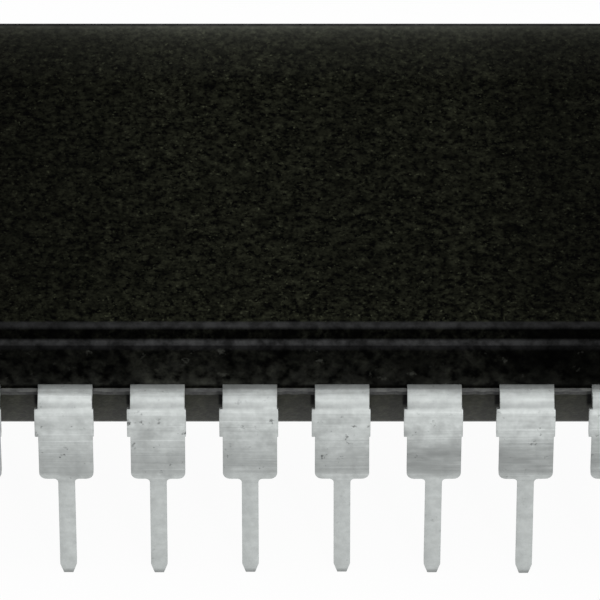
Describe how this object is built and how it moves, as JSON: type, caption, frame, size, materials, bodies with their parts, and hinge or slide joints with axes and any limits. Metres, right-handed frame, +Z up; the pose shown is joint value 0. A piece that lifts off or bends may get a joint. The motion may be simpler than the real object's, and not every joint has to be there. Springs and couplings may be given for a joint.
{
  "type": "dual in-line integrated circuit",
  "caption": "Black moulded dual in-line integrated circuit chip with two rows of bent tin-plated leads, wide shoulders and narrow pins.",
  "frame": {"origin": "centre of the footprint, on the plane of the lead tips", "axes": "+X along the body away from the notched end, +Y towards the rear row, +Z up out of the top face; lead 1 is at the front left (-X, -Y)"},
  "size_m": [0.037, 0.0164, 0.0078],
  "materials": {
    "moulding_compound": "matte",
    "tinned_lead": "satin",
    "frame_copper": "satin",
    "silver_epoxy": "matte",
    "silicon": "polished",
    "gold_wire": "polished"
  },
  "bodies": {
    "root": {"moulded_body": "moulding_compound", "lead_01": "tinned_lead", "lead_02": "tinned_lead", "lead_03": "tinned_lead", "lead_04": "tinned_lead", "lead_05": "tinned_lead", "lead_06": "tinned_lead", "lead_07": "tinned_lead", "lead_08": "tinned_lead", "lead_09": "tinned_lead", "lead_10": "tinned_lead", "lead_11": "tinned_lead", "lead_12": "tinned_lead", "lead_13": "tinned_lead", "lead_14": "tinned_lead", "lead_15": "tinned_lead", "lead_16": "tinned_lead", "lead_17": "tinned_lead", "lead_18": "tinned_lead", "lead_19": "tinned_lead", "lead_20": "tinned_lead", "lead_21": "tinned_lead", "lead_22": "tinned_lead", "lead_23": "tinned_lead", "lead_24": "tinned_lead", "lead_25": "tinned_lead", "lead_26": "tinned_lead", "lead_27": "tinned_lead", "lead_28": "tinned_lead", "die_pad": "frame_copper", "die_attach": "silver_epoxy", "silicon_die": "silicon", "bond_wires": "gold_wire"}
  },
  "joints": []
}
